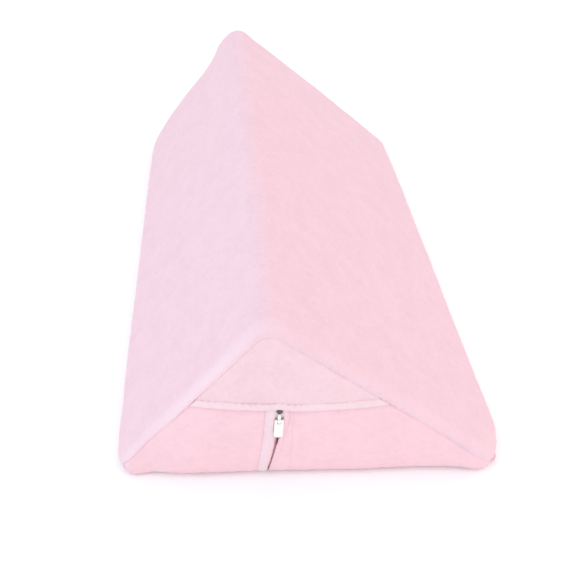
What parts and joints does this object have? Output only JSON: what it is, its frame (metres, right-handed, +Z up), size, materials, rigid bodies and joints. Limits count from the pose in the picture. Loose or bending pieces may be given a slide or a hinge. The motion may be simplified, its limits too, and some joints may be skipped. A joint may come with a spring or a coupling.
{
  "type": "incline wedge cushion",
  "caption": "Right-triangle foam wedge in a zip-off plush cover, lying on its widest face, with a zip from the hem on one end round under the base.",
  "frame": {"origin": "on the floor, at the middle of the whole part's box", "axes": "+X across the wedge towards the long shallow slope's foot, +Y along the ridge away from the zip end, +Z up"},
  "size_m": [0.326, 0.6032, 0.1624],
  "materials": {
    "foam": "open-cell foam",
    "plush_slope": "short plush pile",
    "plush_gusset": "short plush pile",
    "plush_hem": "short plush pile, folded",
    "plush_base": "short plush pile",
    "zip_tape": "woven tape",
    "zip_coil": "moulded monofilament",
    "zip_stop": "dark plated",
    "slider_paint": "off-white enamel",
    "thread": "spun polyester"
  },
  "bodies": {
    "wedge": {"foam_core": "foam", "top_panel": "plush_slope", "front_gusset": "plush_gusset", "front_hem_band": "plush_hem", "base_panel_left": "plush_base", "base_panel_right": "plush_base", "rear_gusset": "plush_gusset", "zip_tape_left": "zip_tape", "zip_tape_right": "zip_tape", "zip_coil_left": "zip_coil", "zip_coil_right": "zip_coil", "zip_top_stop": "zip_stop", "zip_bottom_stop": "zip_stop", "hem_stitching": "thread", "placket_stitching": "thread", "front_seam_overlock": "thread", "rear_seam_overlock": "thread", "side_seam_overlocks": "thread", "base_centre_overlock": "thread"},
    "slider": {"zip_slider": "slider_paint"},
    "pull": {"zip_pull": "slider_paint"}
  },
  "joints": [
    {"name": "slider_travel", "type": "slide", "parent": "wedge", "child": "slider", "axis": [0, 0, -1], "range_m": [0, 0.039]},
    {"name": "pull_swing", "type": "hinge", "parent": "slider", "child": "pull", "pos_m": [-0.035, -0.29965, 0.0674], "axis": [-1, 0, 0], "range_deg": [0, 170]}
  ]
}
